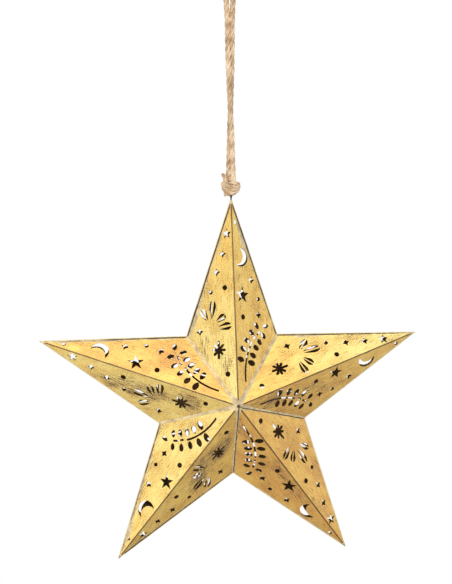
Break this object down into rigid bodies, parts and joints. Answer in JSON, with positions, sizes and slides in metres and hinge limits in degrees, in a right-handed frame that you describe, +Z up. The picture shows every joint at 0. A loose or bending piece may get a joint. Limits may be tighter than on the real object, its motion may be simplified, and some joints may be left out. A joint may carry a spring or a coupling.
{
  "type": "hanging tin star ornament",
  "caption": "Hollow pierced tin star of folded panels soldered along the rims and valleys, hung by a wire eye from a knotted jute cord loop.",
  "frame": {"origin": "the point where the top of the cord loop rests on its hook or nail", "axes": "+Z up, the star's front faces -Y, +X to the front's right"},
  "size_m": [0.3014, 0.0708, 0.4657],
  "materials": {
    "tin": "antique gold lacquer on tinplate, brushed and worn",
    "solder": "dull lead-grey solder, uneven",
    "wire": "dark annealed wire",
    "jute": "twisted natural jute"
  },
  "bodies": {
    "loop": {"cord_loop": "jute"},
    "knot": {"cord_knot": "jute"},
    "bight": {"cord_bight": "jute"},
    "star": {"front_panel_top": "tin", "front_panel_right": "tin", "front_panel_lower_right": "tin", "front_panel_lower_left": "tin", "front_panel_left": "tin", "back_panel_top": "tin", "back_panel_right": "tin", "back_panel_lower_right": "tin", "back_panel_lower_left": "tin", "back_panel_left": "tin", "front_valley_seam_upper_right": "solder", "front_valley_seam_right": "solder", "front_valley_seam_bottom": "solder", "front_valley_seam_left": "solder", "front_valley_seam_upper_left": "solder", "back_valley_seam_upper_right": "solder", "back_valley_seam_right": "solder", "back_valley_seam_bottom": "solder", "back_valley_seam_left": "solder", "back_valley_seam_upper_left": "solder", "rim_seam_top_moon_side": "solder", "rim_seam_right_moon_side": "solder", "rim_seam_lower_right_moon_side": "solder", "rim_seam_lower_left_moon_side": "solder", "rim_seam_left_moon_side": "solder", "rim_seam_top_sun_side": "solder", "rim_seam_right_sun_side": "solder", "rim_seam_lower_right_sun_side": "solder", "rim_seam_lower_left_sun_side": "solder", "rim_seam_left_sun_side": "solder", "tip_solder_top": "solder", "tip_solder_right": "solder", "tip_solder_lower_right": "solder", "tip_solder_lower_left": "solder", "tip_solder_left": "solder", "front_apex_solder": "solder", "back_apex_solder": "solder", "hanging_eye": "wire"}
  },
  "joints": [
    {"name": "cord_twist", "type": "hinge", "parent": "loop", "child": "knot", "pos_m": [0, 0, -0.1632], "axis": [0, 0, 1], "range_deg": [-180, 180]},
    {"name": "bight_sway", "type": "hinge", "parent": "knot", "child": "bight", "pos_m": [0, 0, -0.1664], "axis": [0, 1, 0], "range_deg": [-12, 12]},
    {"name": "star_tilt", "type": "hinge", "parent": "bight", "child": "star", "pos_m": [0, 0, -0.173], "axis": [1, 0, 0], "range_deg": [-45, 45]}
  ]
}
